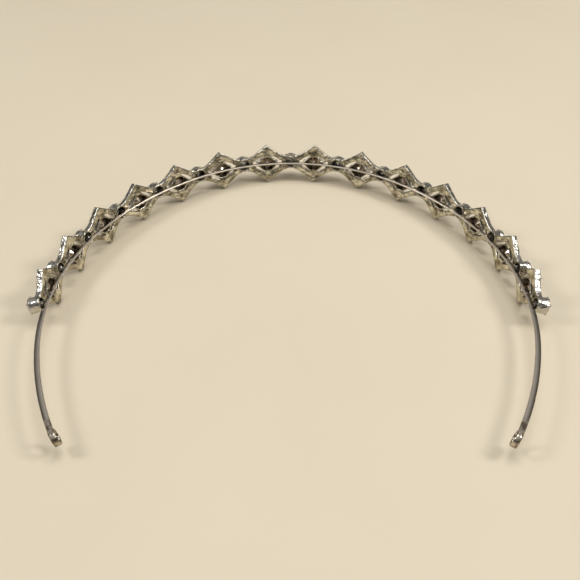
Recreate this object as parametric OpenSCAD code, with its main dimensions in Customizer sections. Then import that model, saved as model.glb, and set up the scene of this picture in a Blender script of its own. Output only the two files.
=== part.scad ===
// Crystal headpiece: a springy steel headband that carries a row of fourteen openwork links.
// Each link is a lozenge of four rails with small stones, a square stone on its corner in the
// middle, and a cup with a round stone where it meets its neighbour.
// The arch lies flat: X is ear to ear, +Y is over the crown of the head, +Z is up.

/* [Arch] */
// Radius of the arch over the crown
crown_r = 54; // [50:1:60]
// Sweep of the crown arc on each side, in degrees
crown_sweep = 31; // [28:1:34]
// Radius of the arch at the sides
side_r = 73; // [70:1:76]
// Sweep of each side arc, in degrees
side_sweep = 69; // [66:1:72]
// Radius of the bare legs
leg_r = 103; // [95:1:120]
// Sweep of each leg, in degrees
leg_sweep = 17; // [15:1:19]
// How far the links lean outwards, in degrees
flare = 16; // [12:1:20]

/* [Headband strip] */
// Width of the strip, seen along the arch
strip_w = 1.45; // [1.3:0.05:1.7]
// Thickness of the strip
strip_t = 0.4; // [0.3:0.05:0.6]
// Radius of the hole in the rolled eye at each end
eye_bore_r = 1.6; // [1.2:0.1:1.8]

/* [Links] */
// Distance along the arch from one cup to the next
link_pitch = 14.5; // [14.2:0.1:15]
// Half of a link's height, from its middle to its point
link_half_h = 5.7; // [5.5:0.1:6]
// Half of the height where two links meet
neck_half_h = 1.85; // [1.7:0.05:2]
// Radius that blends a rail into the neck
blend_r = 6; // [5:0.5:7]
// Half of the height of the opening inside the rails
opening_half_h = 2.85; // [2.7:0.05:3]
// Half of the length of the opening inside the rails
opening_half_l = 4.5; // [4.2:0.1:4.7]
// Half of the height of the opening at its ends
opening_end_half_h = 0.82; // [0.6:0.02:0.9]
// Depth of a rail's wall, from the back of the link
rail_h = 1.6; // [1.4:0.1:1.6]
// Thickness of the webs behind a centre setting's upper and lower corners
web_t = 0.7; // [0.5:0.1:0.9]
// Half of the width of a web
web_half_w = 1.12; // [1.02:0.05:1.27]
// Distance from the link's middle to a web
web_start = 2; // [1.8:0.05:2.2]

/* [Small stones on the rails] */
// Outer radius of a small stone's cup
bead_cup_r = 0.78; // [0.72:0.01:0.8]
// Height of a small cup above the back of the link
bead_cup_h = 1.7; // [1.65:0.05:1.9]
// Radius of a small stone
bead_stone_r = 0.64; // [0.56:0.02:0.64]
// Distance between small stones along a rail
bead_step = 2.05; // [1.95:0.01:2.1]

/* [Centre stones] */
// Half of a centre stone's diagonal, as if its corners weren't cut
centre_stone_d = 3.15; // [3:0.05:3.2]
// Distance from a centre stone's middle to a cut corner
centre_corner = 2.95; // [2.7:0.05:2.95]
// Height of a centre setting above the back of the link
centre_setting_h = 2.6; // [2.4:0.1:3]

/* [Round stones in the cups] */
// Radius of a round stone
round_stone_r = 1.9; // [1.8:0.05:1.95]
// Radius of a cup's foot
cup_foot_r = 1.98; // [1.9:0.02:2.1]
// Height of a cup above the back of the link
cup_h = 3.05; // [2.8:0.05:3.4]

/* [Hidden] */
$fn = 48;
LINKS_PER_SIDE = 7;
SIDES = ["left", "right"];

// Clearance between pieces that are fixed to each other
gap = 0.1;
// Clearance between a stone and the metal under it, and its share below a square stone
seat_gap = 0.07;
square_seat_part = 1.5;
// How far a cut runs past the metal, and how far two cuts overlap
cut_past = 1;
cut_overlap = 0.01;

// Shape of a round brilliant-cut stone, as parts of its radius
table_part = 0.56;
crown_part = 0.36;
crown_mid_part = 0.8;
girdle_part = 0.04;
pavilion_part = 0.8;
pavilion_mid_part = 0.28;

// Shape of a square stone: sizes of its table and step, and heights in millimetres
square_table_part = 0.6;
square_step_part = 0.86;
square_crown_h = 0.75;
square_step_h = 0.36;
square_girdle_h = 0.1;
square_pavilion_h = 1.8;
square_ridge_part = 0.5;
square_ridge_depth_part = 0.62;

// Settings: wall at the rim, width of the ledge under a stone, and the rim's height over the girdle
rim_wall = 0.25;
ledge_w = 0.3;
rim_over_girdle = 0.15;
centre_wall = 0.16;
centre_ledge_w = 0.14;

// Prongs of a cup, and the larger claws at a centre setting's corners, measured from the girdle
prong_r = 0.31;
prong_out = 0.22;
prong_up = 0.3;
claw_r = 0.42;
claw_out = 0.22;
claw_up = 0.43;

// Small stones: eight-sided, as parts of their radius
bead_table_part = 0.58;
bead_crown_part = 0.42;
bead_pavilion_part = 0.75;
bead_sink = 0.06;
bead_cup_foot = 0.6;
bead_inset = bead_cup_r + 0.05;

// A link's neck reaches into its cup, and a cup's foot stands a hair below the links' backs
neck_reach = 0.35;
web_reach = 0.3;
foot_drop = 0.07;

// Notches that part the rails' outer walls between two small stones
notch_r = 0.2;
notch_depth = 0.13;
notch_foot = 0.35;

// The strip stands off the links' backs by the bow of one link's chord and a gap
strip_gap = link_pitch * link_pitch / (8 * crown_r) + gap;
strip_mid = strip_gap + strip_w / 2;
strip_chamfer = 0.1;

// Each arc of the strip is a hair thicker than the one before, so that they join as one solid
arc_overlap = 0.6;
arc_step = 0.01;
eye_r = eye_bore_r + strip_t;
eye_slit = 0.2;

// Arcs of half the arch, from the crown to the tip: radius, sweep in degrees
RADIUS = 0;
SWEEP = 1;
ARCS = [
    [crown_r, crown_sweep],
    [side_r, side_sweep],
    [leg_r, leg_sweep],
];

function outward(angle) = [sin(angle), cos(angle)];
function arc_length(i) = ARCS[i][RADIUS] * ARCS[i][SWEEP] * PI / 180;
function arc_angle(i) = i == 0 ? 0 : arc_angle(i - 1) + ARCS[i - 1][SWEEP];
function arc_start(i) = i == 0 ? [0, 0] :
    arc_start(i - 1) + ARCS[i - 1][RADIUS] * (outward(arc_angle(i)) - outward(arc_angle(i - 1)));
function arc_centre(i) = arc_start(i) - ARCS[i][RADIUS] * outward(arc_angle(i));

// Arc number and distance along it, for a distance s from the crown
function arc_at(s, i = 0) =
    i == len(ARCS) - 1 || s <= arc_length(i) ? [i, s] : arc_at(s - arc_length(i), i + 1);
function arch_angle(s) =
    let(at = arc_at(s)) arc_angle(at[0]) + at[1] / ARCS[at[0]][RADIUS] * 180 / PI;
function arch_point(s) =
    let(at = arc_at(s)) arc_centre(at[0]) + ARCS[at[0]][RADIUS] * outward(arch_angle(s));

// The tip of the strip and the middle of its rolled eye
tip_angle = arc_angle(len(ARCS) - 1) + ARCS[len(ARCS) - 1][SWEEP];
tip_point = arc_centre(len(ARCS) - 1) + ARCS[len(ARCS) - 1][RADIUS] * outward(tip_angle);
eye_drop = eye_bore_r + strip_t / 2;

// The arch stands on the front lower points of its links, and its box is centred on the origin
tip_width_y = cos(tip_angle) * cos(flare);
arch_front = (cup_h - rim_over_girdle + prong_up) * cos(flare)
    + (round_stone_r + prong_out) * sin(45) * sin(flare) + prong_r;
arch_back = tip_point.y - strip_mid * tip_width_y - eye_drop * cos(tip_angle) * sin(flare)
    - eye_r * sqrt(1 - tip_width_y * tip_width_y) - strip_w / 2 * abs(tip_width_y);
arch_y = -(arch_front + arch_back) / 2;
arch_z = link_half_h * cos(flare) + rail_h * sin(flare);

// The straight edge of a link runs from its point to the arc that blends into the neck
blend_centre = [link_pitch / 2, neck_half_h + blend_r];
point_to_blend = norm(blend_centre - [0, link_half_h]);
edge_angle = asin(blend_r / point_to_blend)
    - atan2(blend_centre.y - link_half_h, blend_centre.x);
edge_length = sqrt(point_to_blend * point_to_blend - blend_r * blend_r);
edge_end = [edge_length * cos(edge_angle), link_half_h - edge_length * sin(edge_angle)];

// Half of the flat top and foot of the opening inside the rails
opening_top_half_l = 1;

// A centre setting is a square on its corner; these are halves of diagonals
centre_girdle_z = centre_setting_h - rim_over_girdle - square_girdle_h / 2;
centre_seat_d = centre_stone_d + seat_gap * sqrt(2);
centre_setting_d = centre_seat_d + centre_wall * sqrt(2);
centre_bore_d = centre_stone_d - centre_ledge_w * sqrt(2);
centre_ledge_z = centre_girdle_z - square_girdle_h / 2 - seat_gap * square_seat_part
    - (centre_stone_d - centre_bore_d) / centre_stone_d * square_pavilion_h;

// Small stones sit along each rail, counted from the link's point
BEADS_PER_RAIL = 3;
first_bead = bead_step / 2 / cos(edge_angle);
function on_edge(distance, inset) =
    [distance * cos(edge_angle), link_half_h - inset / cos(edge_angle) - distance * sin(edge_angle)];
function bead_spot(i) = on_edge(first_bead + i * bead_step, bead_inset);
notch_inset = notch_depth - notch_r;
function notch_spot(i) = on_edge(
    first_bead + (i + 0.5) * bead_step + (bead_inset - notch_inset) * tan(edge_angle), notch_inset);

// Places a child whose X runs along the arch, Y up its lean and Z outwards
module on_arch(point, angle) {
    translate([point.x, point.y + arch_y, arch_z]) rotate([90 + flare, 0, 180 - angle]) children();
}

module at_cup(i) {
    on_arch(arch_point(i * link_pitch), arch_angle(i * link_pitch)) children();
}

module at_link(i) {
    start = arch_point((i - 1) * link_pitch);
    end = arch_point(i * link_pitch);
    on_arch((start + end) / 2, atan2(start.y - end.y, end.x - start.x)) children();
}

module on_side(side) {
    if (side == "left") mirror([1, 0, 0]) children();
    else children();
}

// A stone with a table, eight stars, eight kites, a girdle and a pointed pavilion
module brilliant(r) {
    crown_z = (girdle_part / 2 + crown_part) * r;
    girdle_z = girdle_part / 2 * r;
    culet_z = -(girdle_part / 2 + pavilion_part) * r;
    crown_drop = (crown_mid_part * cos(22.5) - table_part) / (1 - table_part);
    crown_mid_z = crown_z - crown_drop * crown_part * r;
    pavilion_mid_z = culet_z + pavilion_mid_part * cos(22.5) * pavilion_part * r;
    corners = concat(
        [for (k = [0:7]) [table_part * r * cos(45 * k), table_part * r * sin(45 * k), crown_z]],
        [for (k = [0:7]) let(a = 45 * k + 22.5)
            [crown_mid_part * r * cos(a), crown_mid_part * r * sin(a), crown_mid_z]],
        [for (j = [0:15]) [r * cos(22.5 * j), r * sin(22.5 * j), girdle_z]],
        [for (j = [0:15]) [r * cos(22.5 * j), r * sin(22.5 * j), -girdle_z]],
        [for (k = [0:7]) let(a = 45 * k + 22.5)
            [pavilion_mid_part * r * cos(a), pavilion_mid_part * r * sin(a), pavilion_mid_z]],
        [[0, 0, culet_z]]
    );
    function table(k) = (k + 8) % 8;
    function mid(k) = 8 + (k + 8) % 8;
    function top(j) = 16 + j % 16;
    function low(j) = 32 + j % 16;
    function deep(k) = 48 + (k + 8) % 8;
    culet = 56;
    facets = concat(
        [[for (k = [7:-1:0]) table(k)]],
        [for (k = [0:7]) [table(k), table(k + 1), mid(k)]],
        [for (k = [0:7]) [table(k), mid(k), top(2 * k), mid(k - 1)]],
        [for (k = [0:7]) [mid(k), top(2 * k + 1), top(2 * k)]],
        [for (k = [0:7]) [mid(k), top(2 * k + 2), top(2 * k + 1)]],
        [for (j = [0:15]) [top(j), top(j + 1), low(j + 1), low(j)]],
        [for (k = [0:7]) [deep(k), low(2 * k), low(2 * k + 1)]],
        [for (k = [0:7]) [deep(k), low(2 * k + 1), low(2 * k + 2)]],
        [for (k = [0:7]) [culet, deep(k - 1), low(2 * k), deep(k)]]
    );
    polyhedron(corners, facets);
}

// Corners of a square on its corner, whose own corners are cut
function cut_square(d, cut) = [
    [cut, d - cut], [d - cut, cut], [cut - d, cut], [-cut, d - cut],
    [-cut, cut - d], [cut - d, -cut], [d - cut, -cut], [cut, cut - d],
];

// A square stone with a table, two steps, a girdle and a pavilion with a ridge down each side
module square_stone(d, cut) {
    outline = cut_square(d, cut);
    low_z = -square_girdle_h / 2;
    rings = [
        [square_table_part, square_girdle_h / 2 + square_crown_h],
        [square_step_part, square_girdle_h / 2 + square_step_h],
        [1, square_girdle_h / 2],
        [1, low_z],
    ];
    ridge_r = square_ridge_part * d / sqrt(2);
    ridge_z = low_z - square_ridge_depth_part * square_pavilion_h;
    corners = concat(
        [for (ring = rings, spot = outline) [ring[0] * spot.x, ring[0] * spot.y, ring[1]]],
        [for (k = [0:3]) let(a = 45 + 90 * k) [ridge_r * cos(a), ridge_r * sin(a), ridge_z]],
        [[0, 0, low_z - square_pavilion_h]]
    );
    low = 8 * (len(rings) - 1);
    ridge = 8 * len(rings);
    culet = ridge + 4;
    facets = concat(
        [[for (k = [7:-1:0]) k]],
        [for (i = [0:len(rings) - 2], k = [0:7])
            [8 * i + k, 8 * i + (k + 1) % 8, 8 * i + 8 + (k + 1) % 8, 8 * i + 8 + k]],
        [for (k = [0:3]) [low + 2 * k, low + 2 * k + 1, ridge + k]],
        [for (k = [0:3]) [low + 2 * k + 1, culet, ridge + k]],
        [for (k = [0:3]) [low + 2 * k, ridge + k, culet]],
        [for (k = [0:3]) [low + 2 * k + 1, low + (2 * k + 2) % 8, culet]]
    );
    polyhedron(corners, facets);
}

// Eight-sided stone for the rails
module small_stone(r) {
    rotate_extrude($fn = 8) polygon([
        [0, -bead_pavilion_part * r], [r, 0],
        [bead_table_part * r, bead_crown_part * r], [0, bead_crown_part * r],
    ]);
}

// Outside of a cup, from a hair below the links' backs to its rim
module cup_body() {
    translate([0, 0, -foot_drop])
        cylinder(h = cup_h + foot_drop, r1 = cup_foot_r, r2 = round_stone_r + seat_gap + rim_wall);
}

// Hollow of a cup: open at the back, with a ledge that follows the stone's pavilion
module cup_bore() {
    seat_r = round_stone_r + seat_gap;
    bore_r = round_stone_r - ledge_w;
    seat_z = cup_h - rim_over_girdle - girdle_part * round_stone_r - seat_gap;
    bore_z = seat_z - (seat_r - bore_r) * pavilion_part;
    rotate_extrude() polygon([
        [0, -cut_past], [bore_r, -cut_past], [bore_r, bore_z], [seat_r, seat_z],
        [seat_r, cup_h + cut_past], [0, cup_h + cut_past],
    ]);
}

// Rounded tips that hold a stone's girdle, on a ring of radius out, at height up
module grips(radius, r, z, count, first) {
    for (k = [0:count - 1]) rotate([0, 0, first + k * 360 / count]) translate([radius, 0, z]) sphere(r = r);
}

module cup_prongs() {
    grips(round_stone_r + prong_out, prong_r, cup_h - rim_over_girdle + prong_up, 4, 45);
}

module cup() {
    difference() {
        cup_body();
        cup_bore();
    }
    cup_prongs();
}

// Square wall around a centre stone
module centre_body() {
    side = centre_setting_d * sqrt(2);
    rotate([0, 0, 45]) translate([-side / 2, -side / 2, 0]) cube([side, side, centre_setting_h]);
}

// Hollow of a centre setting: open at the back, with a ledge under the stone's four sides
module centre_bore() {
    side = centre_bore_d * sqrt(2);
    rotate([0, 0, 45]) translate([-side / 2, -side / 2, -cut_past])
        cube([side, side, centre_ledge_z + cut_past + cut_overlap]);
    translate([0, 0, centre_ledge_z]) linear_extrude(centre_setting_h - centre_ledge_z + cut_past)
        polygon(cut_square(centre_seat_d, centre_corner + seat_gap));
}

module centre_claws() {
    grips(centre_corner + claw_out, claw_r, centre_setting_h - rim_over_girdle + claw_up, 4, 0);
}

// Room that a link leaves around its neighbour's cup
module cup_room() {
    slope = (round_stone_r + seat_gap + rim_wall - cup_foot_r) / (cup_h + foot_drop);
    translate([0, 0, -foot_drop - cut_past]) cylinder(
        h = cup_h + foot_drop + 2 * cut_past, r1 = cup_foot_r + gap - slope * cut_past,
        r2 = cup_foot_r + gap + slope * (cup_h + foot_drop + cut_past));
}

// Outline of a link: a lozenge whose sides bow into the two necks
module link_outline() {
    end = link_pitch / 2 + neck_reach;
    difference() {
        polygon([
            [0, link_half_h], edge_end, [end, edge_end.y], [end, -edge_end.y],
            [edge_end.x, -edge_end.y], [0, -link_half_h], [-edge_end.x, -edge_end.y],
            [-end, -edge_end.y], [-end, edge_end.y], [-edge_end.x, edge_end.y],
        ]);
        for (x = [-1, 1], y = [-1, 1])
            translate([x * blend_centre.x, y * blend_centre.y]) circle(r = blend_r);
    }
}

module rails() {
    linear_extrude(rail_h) difference() {
        link_outline();
        polygon([
            [opening_half_l, opening_end_half_h], [opening_top_half_l, opening_half_h],
            [-opening_top_half_l, opening_half_h], [-opening_half_l, opening_end_half_h],
            [-opening_half_l, -opening_end_half_h], [-opening_top_half_l, -opening_half_h],
            [opening_top_half_l, -opening_half_h], [opening_half_l, -opening_end_half_h],
        ]);
    }
}

// Webs behind the centre setting's upper and lower corners, which run into the rails
module webs() {
    for (k = [0, 1]) rotate([0, 0, 180 * k]) translate([-web_half_w, web_start, 0])
        cube([2 * web_half_w, opening_half_h + web_reach - web_start, web_t]);
}

module on_rails() {
    for (x = [-1, 1], y = [-1, 1], i = [0:BEADS_PER_RAIL - 1])
        translate([x * bead_spot(i).x, y * bead_spot(i).y, 0]) children();
}

module bead_cup() {
    translate([0, 0, bead_cup_foot]) cylinder(h = bead_cup_h - bead_cup_foot, r = bead_cup_r);
}

// Hollow of a small cup: a cone under the stone's girdle and a straight wall above it
module bead_seat() {
    seat_r = bead_stone_r + seat_gap;
    seat_z = bead_cup_h - bead_sink;
    depth = (bead_pavilion_part * bead_stone_r + seat_gap) * seat_r / bead_stone_r;
    rotate_extrude() polygon([
        [0, seat_z - depth], [seat_gap, seat_z - depth], [seat_r, seat_z],
        [seat_r, seat_z + cut_past], [0, seat_z + cut_past],
    ]);
}

module notches() {
    for (x = [-1, 1], y = [-1, 1], i = [0:BEADS_PER_RAIL - 2])
        translate([x * notch_spot(i).x, y * notch_spot(i).y, notch_foot]) cylinder(h = rail_h, r = notch_r);
}

// Link number i of one side, counted from the crown, with the cup at its outer end
module link(i) {
    color("silver") difference() {
        union() {
            at_link(i) {
                rails();
                on_rails() bead_cup();
                centre_body();
            }
            at_cup(i) cup_body();
        }
        at_link(i) {
            centre_bore();
            on_rails() bead_seat();
            notches();
        }
        at_cup(i) cup_bore();
        at_cup(i - 1) cup_room();
    }
    color("silver") at_link(i) {
        centre_claws();
        webs();
    }
    color("silver") at_cup(i) cup_prongs();
}

module centre_stone(i) {
    color("whitesmoke") at_link(i) translate([0, 0, centre_girdle_z])
        square_stone(centre_stone_d, centre_corner);
}

module round_stone(i) {
    z = cup_h - rim_over_girdle - girdle_part / 2 * round_stone_r;
    color("whitesmoke") at_cup(i) translate([0, 0, z]) brilliant(round_stone_r);
}

module rail_stones() {
    color("white") for (side = SIDES, i = [1:LINKS_PER_SIDE]) on_side(side) at_link(i) on_rails()
        translate([0, 0, bead_cup_h - bead_sink]) small_stone(bead_stone_r);
}

// Section of the strip beside the arch line, thicker by grow all round
module strip_section(radius, grow) {
    w = strip_w / 2 + grow;
    t = strip_t / 2 + grow;
    c = strip_chamfer;
    translate([radius, 0]) rotate(-flare) translate([-strip_mid, 0]) polygon([
        [-w, c - t], [c - w, -t], [w - c, -t], [w, c - t],
        [w, t - c], [w - c, t], [c - w, t], [-w, t - c],
    ]);
}

// One arc of the strip, reaching back a little way into the arc before it
module strip_arc(i) {
    centre = arc_centre(i);
    back = i == 0 ? 0 : arc_overlap / ARCS[i][RADIUS] * 180 / PI;
    translate([centre.x, centre.y + arch_y, arch_z])
        rotate([0, 0, 90 - arc_angle(i) - ARCS[i][SWEEP]])
            rotate_extrude(angle = ARCS[i][SWEEP] + back) strip_section(ARCS[i][RADIUS], i * arc_step);
}

// The arc over the crown runs to both sides
module crown_arc() {
    translate([0, arch_y - crown_r, arch_z]) rotate([0, 0, 90 - crown_sweep])
        rotate_extrude(angle = 2 * crown_sweep) strip_section(crown_r, 0);
}

// The strip's end is rolled under into an eye, with a slit where its edge comes round
module rolled_eye() {
    grow = len(ARCS) * arc_step;
    on_arch(tip_point, tip_angle) translate([0, -eye_drop, -strip_mid - strip_w / 2 - grow]) difference() {
        cylinder(h = strip_w + 2 * grow, r = eye_r);
        translate([0, 0, -cut_past]) cylinder(h = strip_w + 2 * cut_past, r = eye_bore_r);
        translate([0, eye_bore_r - eye_slit, -cut_past])
            cube([eye_r, eye_slit, strip_w + 2 * cut_past]);
    }
}

module headband() {
    color("gray") union() {
        crown_arc();
        for (side = SIDES) on_side(side) {
            for (i = [1:len(ARCS) - 1]) strip_arc(i);
            rolled_eye();
        }
    }
}

headband();
color("silver") at_cup(0) cup();  // middle_cup
round_stone(0);  // middle_round_stone
rail_stones();
for (side = SIDES, i = [1:LINKS_PER_SIDE]) {
    on_side(side) link(i);
    on_side(side) centre_stone(i);
    on_side(side) round_stone(i);
}
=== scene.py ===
import math

import bmesh
import bpy
from mathutils import Matrix, Vector


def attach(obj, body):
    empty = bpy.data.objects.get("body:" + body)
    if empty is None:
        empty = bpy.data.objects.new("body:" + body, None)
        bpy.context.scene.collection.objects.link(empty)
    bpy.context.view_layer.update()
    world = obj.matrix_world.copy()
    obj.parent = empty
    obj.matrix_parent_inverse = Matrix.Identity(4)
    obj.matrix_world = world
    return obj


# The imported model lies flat: X from eye to eye, +Y over the crown, +Z up, all in metres.
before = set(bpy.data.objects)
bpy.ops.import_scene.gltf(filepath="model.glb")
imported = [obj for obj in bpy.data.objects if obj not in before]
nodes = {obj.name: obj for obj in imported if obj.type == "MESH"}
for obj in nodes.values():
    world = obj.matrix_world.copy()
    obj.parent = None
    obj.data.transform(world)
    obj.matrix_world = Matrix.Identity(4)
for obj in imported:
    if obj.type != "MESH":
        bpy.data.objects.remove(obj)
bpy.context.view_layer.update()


# Headband strip: one springy steel strip that runs inside the links and ends in two rolled eyes.
# It is drawn and plated a warm silver, so fine lines run through a soft polish, with a little
# tarnish in patches.
head_middle = (0.0, -0.008, 0.0)
strip_silver = (0.88, 0.80, 0.71)
strip_worn_silver = (0.76, 0.67, 0.57)
# Painted shade for the strip's inner face under the crown
strip_painted_shade = (0.30, 0.25, 0.16)
# Painted shade for the strip's outer edge
strip_edge_shade = (0.13, 0.11, 0.09)
eye_silver = (0.62, 0.55, 0.45)
eye_tarnish = (0.22, 0.18, 0.13)
strip_patch_mm = 9
strip_line_mm = 0.5
eye_patch_mm = 1.2
strip_edge_round = 0.0009
strip_line_depth = 0.00002
strip_polish = (0.13, 0.17)
satin_under_crown = 0.26

# Each of these is the span of a value over which one finish passes into the next
crown_span_y = (0.02, 0.045)
eye_span_y = (-0.0535, -0.0515)
eye_patch_span = (0.4, 0.6)
inner_face_span = (0.55, 0.85)
outer_edge_shade_span = (-0.45, -0.18)

# How many rays a bevel or corner node looks along
edge_rays = 8


def new_finish(name, colour, metallic, roughness):
    finish = bpy.data.materials.new(name)
    finish.use_nodes = True
    shader = finish.node_tree.nodes["Principled BSDF"]
    shader.inputs["Base Color"].default_value = (*colour, 1)
    shader.inputs["Metallic"].default_value = metallic
    shader.inputs["Roughness"].default_value = roughness
    return finish, shader


def add_node(finish, kind, inputs=(), **settings):
    made = finish.node_tree.nodes.new(kind)
    for name, value in settings.items():
        setattr(made, name, value)
    for name, value in dict(inputs).items():
        if isinstance(value, bpy.types.NodeSocket):
            finish.node_tree.links.new(value, made.inputs[name])
        else:
            made.inputs[name].default_value = value
    return made


def feed(finish, source, shader, name):
    finish.node_tree.links.new(source, shader.inputs[name])


def place_on(finish):
    # The point on the surface, which stays with the piece
    return add_node(finish, "ShaderNodeTexCoord").outputs["Object"]


def noise(finish, where, grain_mm, detail=2.0, roughness=0.5):
    made = add_node(finish, "ShaderNodeTexNoise", {
        "Vector": where, "Scale": 1000 / grain_mm, "Detail": detail, "Roughness": roughness,
    })
    return made.outputs["Fac"]


def spread(finish, value, low, high, from_low=0.3, from_high=0.7):
    # Stretches a span of the value from low to high; a noise lies mostly between 0.3 and 0.7
    made = add_node(finish, "ShaderNodeMapRange", {
        "Value": value, "From Min": from_low, "From Max": from_high, "To Min": low, "To Max": high,
    })
    return made.outputs["Result"]


def blend_colours(finish, amount, first, second):
    # In a colour mix the sockets 6 and 7 are the two colours, and output 2 is the result
    made = add_node(finish, "ShaderNodeMix", data_type="RGBA")
    wanted = {"Factor": amount, 6: first, 7: second}
    for name, value in wanted.items():
        socket = made.inputs[name]
        if isinstance(value, bpy.types.NodeSocket):
            finish.node_tree.links.new(value, socket)
        else:
            socket.default_value = (*value, 1)
    return made.outputs[2]


def rounded_normal(finish, radius):
    return add_node(
        finish, "ShaderNodeBevel", {"Radius": radius}, samples=edge_rays).outputs["Normal"]


def flat_normal(finish):
    return add_node(finish, "ShaderNodeNewGeometry").outputs["True Normal"]


def facing_in(finish, place, face):
    # 1 on a face that looks level towards the middle of the head opening, 0 on one across it
    to_middle = add_node(
        finish, "ShaderNodeVectorMath", {0: head_middle, 1: place}, operation="SUBTRACT")
    level = add_node(
        finish, "ShaderNodeVectorMath", {0: to_middle.outputs[0], 1: (1.0, 1.0, 0.0)},
        operation="MULTIPLY")
    inward = add_node(finish, "ShaderNodeVectorMath", {0: level.outputs[0]}, operation="NORMALIZE")
    return add_node(
        finish, "ShaderNodeVectorMath", {0: inward.outputs[0], 1: face}, operation="DOT_PRODUCT",
    ).outputs["Value"]


def put_on(piece, finish):
    piece.data.materials.clear()
    piece.data.materials.append(finish)


strip_finish, strip_shader = new_finish("plated_strip_steel", (0.78, 0.74, 0.66), 1.0, 0.16)
strip_place = place_on(strip_finish)
strip_patches = noise(strip_finish, strip_place, strip_patch_mm, detail=3)
strip_lines = noise(strip_finish, strip_place, strip_line_mm, detail=3, roughness=0.6)
strip_edges = rounded_normal(strip_finish, strip_edge_round)
strip_metal = blend_colours(
    strip_finish, spread(strip_finish, strip_patches, 0.0, 1.0), strip_silver, strip_worn_silver)

# Under the crown the strip is satin, and its inner face there is darkened with painted shade;
# down its sides and legs it keeps its plain silver
strip_along = add_node(strip_finish, "ShaderNodeSeparateXYZ", {"Vector": strip_place}).outputs["Y"]
under_crown = spread(strip_finish, strip_along, 0.0, 1.0, *crown_span_y)
strip_inward = facing_in(strip_finish, strip_place, flat_normal(strip_finish))
inner_shade = add_node(strip_finish, "ShaderNodeMath", {
    0: under_crown, 1: spread(strip_finish, strip_inward, 0.0, 1.0, *inner_face_span),
}, operation="MULTIPLY")
inner_shaded_metal = blend_colours(strip_finish, inner_shade.outputs["Value"], strip_metal, strip_painted_shade)

# Its outer edge, where the rounded face turns away from the head, is darkened with painted shade
outer_edge_shade = spread(
    strip_finish, facing_in(strip_finish, strip_place, strip_edges), 1.0, 0.0, *outer_edge_shade_span)
edge_shaded_metal = blend_colours(strip_finish, outer_edge_shade, inner_shaded_metal, strip_edge_shade)

# The rolled eyes are the parts most handled, and have gone dark in patches
at_eyes = spread(strip_finish, strip_along, 1.0, 0.0, *eye_span_y)
eye_patches = noise(strip_finish, strip_place, eye_patch_mm, detail=3)
eye_metal = blend_colours(
    strip_finish, spread(strip_finish, eye_patches, 0.0, 1.0, *eye_patch_span),
    eye_silver, eye_tarnish)
strip_colour = blend_colours(strip_finish, at_eyes, edge_shaded_metal, eye_metal)
feed(strip_finish, strip_colour, strip_shader, "Base Color")
strip_roughness = add_node(strip_finish, "ShaderNodeMath", {
    0: under_crown, 1: satin_under_crown, 2: spread(strip_finish, strip_lines, *strip_polish),
}, operation="MULTIPLY_ADD")
feed(strip_finish, strip_roughness.outputs["Value"], strip_shader, "Roughness")
strip_relief = add_node(strip_finish, "ShaderNodeBump", {
    "Strength": 0.05, "Distance": strip_line_depth, "Height": strip_lines, "Normal": strip_edges,
})
feed(strip_finish, strip_relief.outputs["Normal"], strip_shader, "Normal")
put_on(nodes["headband"], strip_finish)


# Links and cups: fourteen openwork castings and the cup at the crown, in a white alloy.
# Their outer walls and settings are tumbled bright and plated; the backs keep the grain of the
# mould, and their olive grey is partly dulled metal and partly painted reflection, with painted
# shade in the corners.
wall_silver = (0.66, 0.64, 0.59)
wall_worn_silver = (0.46, 0.43, 0.36)
front_silver = (0.90, 0.89, 0.86)
back_pale = (0.82, 0.76, 0.59)
# The olive is partly dulled metal and partly a painted reflection
back_olive_reflection = (0.24, 0.21, 0.14)
# The next two colours are a painted edge highlight and a painted line of shade
edge_highlight = (0.85, 0.80, 0.66)
edge_shade_line = (0.16, 0.13, 0.08)
# Painted shade for corners and recesses
corner_shade = (0.13, 0.11, 0.08)
grain_mm = 0.3
swell_mm = 1.5
tarnish_mm = 2.4
grain_depth = 0.00004
swell_depth = 0.00042
casting_edge_round = 0.00055
corner_reach = 0.0012
back_span = (0.5, 0.8)
front_span = (-0.8, -0.4)
tarnish_span = (0.38, 0.62)
corner_span = (0.15, 0.75)
polished_roughness = 0.12
back_roughness = 0.24

# How far the rounded normal keeps to the flat one, from 1 on a flat down to about 0.7 on an edge
shade_line_span = (0.95, 0.995)
highlight_span = (0.84, 0.92)

casting_finish, casting_shader = new_finish("plated_castings", (0.7, 0.66, 0.56), 1.0, 0.2)
casting_place = place_on(casting_finish)
casting_grain = noise(casting_finish, casting_place, grain_mm, detail=3, roughness=0.65)
casting_swell = noise(casting_finish, casting_place, swell_mm)
casting_tarnish = noise(casting_finish, casting_place, tarnish_mm, detail=4, roughness=0.6)

# The backs are the faces that look in towards the middle of the head opening, and the fronts,
# which are polished most, are those that look away from it
flat_face = flat_normal(casting_finish)
casting_inward = facing_in(casting_finish, casting_place, flat_face)
on_back = spread(casting_finish, casting_inward, 0.0, 1.0, *back_span)
on_front = spread(casting_finish, casting_inward, 1.0, 0.0, *front_span)
open_air = add_node(
    casting_finish, "ShaderNodeAmbientOcclusion", {"Distance": corner_reach}, samples=edge_rays,
).outputs["AO"]
wall_metal = blend_colours(
    casting_finish, spread(casting_finish, casting_tarnish, 0.0, 1.0),
    wall_silver, wall_worn_silver)
# The backs' pale and olive patches are partly dulled metal and partly painted reflection
back_metal_and_reflection = blend_colours(
    casting_finish, spread(casting_finish, casting_tarnish, 0.0, 1.0, *tarnish_span),
    back_pale, back_olive_reflection)
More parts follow.
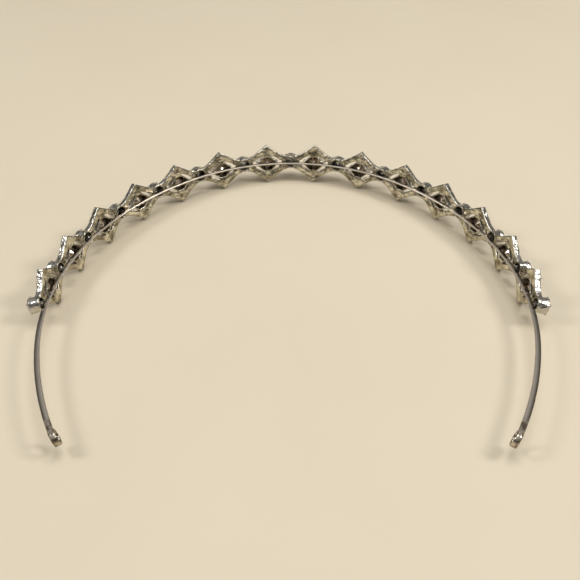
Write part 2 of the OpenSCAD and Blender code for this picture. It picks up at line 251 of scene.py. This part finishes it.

# The backs' edges carry a painted highlight, with a painted line of shade beside them
soft_edges = rounded_normal(casting_finish, casting_edge_round)
flatness = add_node(
    casting_finish, "ShaderNodeVectorMath", {0: soft_edges, 1: flat_face}, operation="DOT_PRODUCT",
).outputs["Value"]
shade_lined_metal = blend_colours(
    casting_finish, spread(casting_finish, flatness, 1.0, 0.0, *shade_line_span),
    back_metal_and_reflection, edge_shade_line)
highlighted_metal = blend_colours(
    casting_finish, spread(casting_finish, flatness, 1.0, 0.0, *highlight_span),
    shade_lined_metal, edge_highlight)
plated_metal = blend_colours(casting_finish, on_front, wall_metal, front_silver)
metal_with_painted_light = blend_colours(casting_finish, on_back, plated_metal, highlighted_metal)
# Painted shade: the colour darkens where the occlusion node finds little open air
casting_colour = blend_colours(
    casting_finish, spread(casting_finish, open_air, 1.0, 0.0, *corner_span),
    metal_with_painted_light, corner_shade)
feed(casting_finish, casting_colour, casting_shader, "Base Color")
casting_roughness = spread(
    casting_finish, on_back, polished_roughness, back_roughness, from_low=0.0, from_high=1.0)
feed(casting_finish, casting_roughness, casting_shader, "Roughness")
casting_swells = add_node(casting_finish, "ShaderNodeBump", {
    "Strength": 1.0, "Distance": swell_depth, "Height": casting_swell, "Normal": soft_edges,
})
casting_relief = add_node(casting_finish, "ShaderNodeBump", {
    "Strength": 0.6, "Distance": grain_depth, "Height": casting_grain,
    "Normal": casting_swells.outputs["Normal"],
})
feed(casting_finish, casting_relief.outputs["Normal"], casting_shader, "Normal")
for name in nodes:
    if "_link_" in name or name == "middle_cup":
        put_on(nodes[name], casting_finish)


# Large and round stones: machine-cut crystals held by claws and prongs in their settings.
# They are clear and polished, with a trace of wear on the facets.
facet_wear_mm = 0.8
facet_wear_span = (0.55, 0.8)
facet_roughness = (0.0, 0.03)
large_refraction = 1.6


def cut_crystal(name, colour, refraction):
    finish, shader = new_finish(name, colour, 0.0, 0.01)
    shader.inputs["Transmission Weight"].default_value = 1.0
    shader.inputs["IOR"].default_value = refraction
    wear = noise(finish, place_on(finish), facet_wear_mm)
    feed(finish, spread(finish, wear, *facet_roughness, *facet_wear_span), shader, "Roughness")
    return finish


crystal = cut_crystal("clear_crystal", (0.95, 0.96, 0.98), large_refraction)
large_stones = [name for name in nodes if "_centre_stone_" in name or "_round_stone" in name]
for name in large_stones:
    put_on(nodes[name], crystal)


# Foil backs: the coat on each stone's pointed side, silver foil within and lacquered without, as
# on pressed crystals. It is what shows through the settings from behind: brown on the large
# stones, and a dark mirror on the round ones.
coat_gap = 0.00002
coat_depth = 0.00002
same_point = 0.000001
back_limit = -0.2
lacquer_cloud_mm = 0.7
lacquer_span = (0.4, 0.6)
lacquer_pale = (0.76, 0.66, 0.51)
lacquer_brown = (0.20, 0.13, 0.09)
lacquer_roughness = (0.06, 0.2)
mirror_cloud_mm = 0.9
mirror_span = (0.42, 0.58)
mirror_pale = (0.88, 0.90, 0.95)
mirror_dark = (0.24, 0.23, 0.22)
mirror_roughness = (0.04, 0.12)
foil_crumple_mm = 0.5
foil_roughness = (0.03, 0.1)


def clouded_coat(name, colours, metallic, roughness, cloud_mm, cloud_span, polish, gloss):
    finish, shader = new_finish(name, colours[0], metallic, roughness)
    cloud = noise(finish, place_on(finish), cloud_mm, detail=3)
    clouded = blend_colours(finish, spread(finish, cloud, 0.0, 1.0, *cloud_span), *colours[1:])
    feed(finish, clouded, shader, "Base Color")
    feed(finish, spread(finish, cloud, *polish), shader, "Roughness")
    shader.inputs["Coat Weight"].default_value = gloss
    return finish


lacquer = clouded_coat(
    "brown_lacquer", ((0.3, 0.2, 0.14), lacquer_pale, lacquer_brown), 0.7, 0.12,
    lacquer_cloud_mm, lacquer_span, lacquer_roughness, gloss=0.6)
mirror = clouded_coat(
    "dark_mirror_lacquer", ((0.3, 0.32, 0.35), mirror_pale, mirror_dark), 1.0, 0.06,
    mirror_cloud_mm, mirror_span, mirror_roughness, gloss=0.0)

foil, foil_shader = new_finish("silver_foil", (0.9, 0.9, 0.92), 1.0, 0.05)
foil_crumple = noise(foil, place_on(foil), foil_crumple_mm)
feed(foil, spread(foil, foil_crumple, *foil_roughness), foil_shader, "Roughness")


def loose_stones(field):
    # The faces of each separate stone in a mesh, always in the same order
    waiting = dict.fromkeys(field.faces)
    while waiting:
        stone = [waiting.popitem()[0]]
        for face in stone:
            for other in (other for edge in face.edges for other in edge.link_faces):
                if other in waiting:
                    del waiting[other]
                    stone.append(other)
        yield stone


def stone_facing(faces):
    # The table is the largest flat of a stone, and the stone faces the way the table does
    flats = {}
    for face in faces:
        key = tuple(round(part, 1) for part in face.normal)
        area, total = flats.get(key, (0.0, Vector((0, 0, 0))))
        flats[key] = (area + face.calc_area(), total + face.normal * face.calc_area())
    return max(flats.values(), key=lambda flat: flat[0])[1].normalized()


def back_coat(stone, outside):
    # Keeps a copy of the stone's back faces just off the stone, and gives it a skin of thickness
    coat = bmesh.new()
    coat.from_mesh(stone.data)
    bmesh.ops.remove_doubles(coat, verts=coat.verts, dist=same_point)
    coat.normal_update()
    others = []
    for faces in loose_stones(coat):
        facing = stone_facing(faces)
        others += [face for face in faces if face.normal.dot(facing) > back_limit]
    bmesh.ops.delete(coat, geom=others, context="FACES")
    coat.normal_update()
    inner = list(coat.faces)
    for vertex in coat.verts:
        vertex.co += vertex.normal * coat_gap
    outer = bmesh.ops.duplicate(coat, geom=list(coat.verts) + list(coat.edges) + inner)
    pairs = [(face, outer["face_map"][face]) for face in inner]
    partner = {old: outer["vert_map"][old] for face in inner for old in face.verts}
    inner_edges = dict.fromkeys(edge for face in inner for edge in face.edges)
    rim = [edge for edge in inner_edges if edge.is_boundary]
    for old, new in partner.items():
        new.co = old.co + old.normal * coat_depth
    for edge in rim:
        first, second = edge.verts
        coat.faces.new((first, second, partner[second], partner[first]))
    for face, copy in pairs:
        face.material_index = 1
        copy.material_index = 0
    bmesh.ops.recalc_face_normals(coat, faces=coat.faces)
    mesh = bpy.data.meshes.new(stone.name + "_back")
    coat.to_mesh(mesh)
    coat.free()
    mesh.materials.append(outside)
    mesh.materials.append(foil)
    piece = bpy.data.objects.new(stone.name + "_back", mesh)
    bpy.context.scene.collection.objects.link(piece)
    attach(piece, "root")


for name in large_stones:
    back_coat(nodes[name], mirror if "_round_stone" in name else lacquer)


# Rail stones: 168 small eight-sided crystals, each glued in a blind cup on a rail.
# They are clear, and foiled at the back like the large ones, which gives their sparkle.
small_refraction = 1.56
small_crystal = cut_crystal("small_crystal", (0.95, 0.96, 0.97), small_refraction)
put_on(nodes["rail_stones"], small_crystal)
back_coat(nodes["rail_stones"], lacquer)


# Floor: a plain pale sheet that the arch lies on, a hair below it so that the two never share
# a plane. It is matt, with faint broad clouds of a second shade.
floor_side = 3.0
floor_drop = 0.00005
floor_cloud_mm = 60
floor_pale = (0.76, 0.67, 0.51)
floor_shade = (0.72, 0.62, 0.46)
bpy.ops.mesh.primitive_plane_add(size=floor_side, location=(0, 0, -floor_drop))
floor = bpy.context.object
floor.name = "floor"
floor_finish, floor_shader = new_finish("pale_floor", (0.74, 0.72, 0.68), 0.0, 0.6)
floor_colour = blend_colours(
    floor_finish, noise(floor_finish, place_on(floor_finish), floor_cloud_mm),
    floor_pale, floor_shade)
feed(floor_finish, floor_colour, floor_shader, "Base Color")
put_on(floor, floor_finish)


# Soft studio light: a dome that is bright overhead and dim round its middle, and three broad
# lamps, one above and one to each side, all aimed at the middle of the arch.
dome_bands = ((0.0, 0.3), (0.14, 0.3), (0.27, 0.07), (0.37, 0.07), (0.5, 0.32), (0.85, 0.5))
dome_colour = (0.97, 0.95, 0.92, 1)
world = bpy.data.worlds.new("studio")
bpy.context.scene.world = world
bpy.context.scene.view_settings.view_transform = "Standard"
world.use_nodes = True
dome = world.node_tree.nodes["Background"]
dome_place = world.node_tree.nodes.new("ShaderNodeTexCoord")
dome_height = world.node_tree.nodes.new("ShaderNodeSeparateXYZ")
dome_shade = world.node_tree.nodes.new("ShaderNodeValToRGB")
ramp = dome_shade.color_ramp.elements
for number, (height, light) in enumerate(dome_bands):
    band = ramp[number] if number < len(ramp) else ramp.new(height)
    band.position = height
    band.color = (light, light, light, 1)
world.node_tree.links.new(dome_place.outputs["Generated"], dome_height.inputs[0])
world.node_tree.links.new(dome_height.outputs["Z"], dome_shade.inputs["Fac"])
world.node_tree.links.new(dome_shade.outputs["Color"], dome.inputs["Strength"])
dome.inputs["Color"].default_value = dome_colour


def soft_lamp(name, place, width, watts):
    lamp = bpy.data.lights.new(name, "AREA")
    lamp.shape = "DISK"
    lamp.size = width
    lamp.energy = watts
    holder = bpy.data.objects.new(name, lamp)
    holder.location = place
    holder.rotation_euler = (-Vector(place)).to_track_quat("-Z", "Y").to_euler()
    bpy.context.scene.collection.objects.link(holder)


soft_lamp("lamp_above", (0.1, 0.1, 0.8), width=0.5, watts=2.1)
soft_lamp("lamp_right", (0.5, -0.04, 0.48), width=0.2, watts=1.6)
soft_lamp("lamp_left", (-0.5, -0.04, 0.48), width=0.2, watts=1.2)


# Camera: the photograph's view, from inside the arch and above, looking 40 degrees down. Its
# place and turns come from fitting the links' points and the strip's line to the photograph.
image_side = 580
focal_pixels = 900
sensor_mm = 36
nearest_seen = 0.01
look_down = math.radians(40.239)
turn = math.radians(1.126)
tilt = math.radians(-0.686)
camera_place = Vector((0.00409, -0.1865, 0.15758))
camera_data = bpy.data.cameras.new("camera")
camera_data.sensor_width = sensor_mm
camera_data.lens = focal_pixels / image_side * sensor_mm
camera_data.clip_start = nearest_seen
camera = bpy.data.objects.new("camera", camera_data)
bpy.context.scene.collection.objects.link(camera)
camera.matrix_world = (
    Matrix.Translation(camera_place)
    @ Matrix.Rotation(turn, 4, "Z")
    @ Matrix.Rotation(math.pi / 2 - look_down, 4, "X")
    @ Matrix.Rotation(tilt, 4, "Z")
)
bpy.context.scene.camera = camera
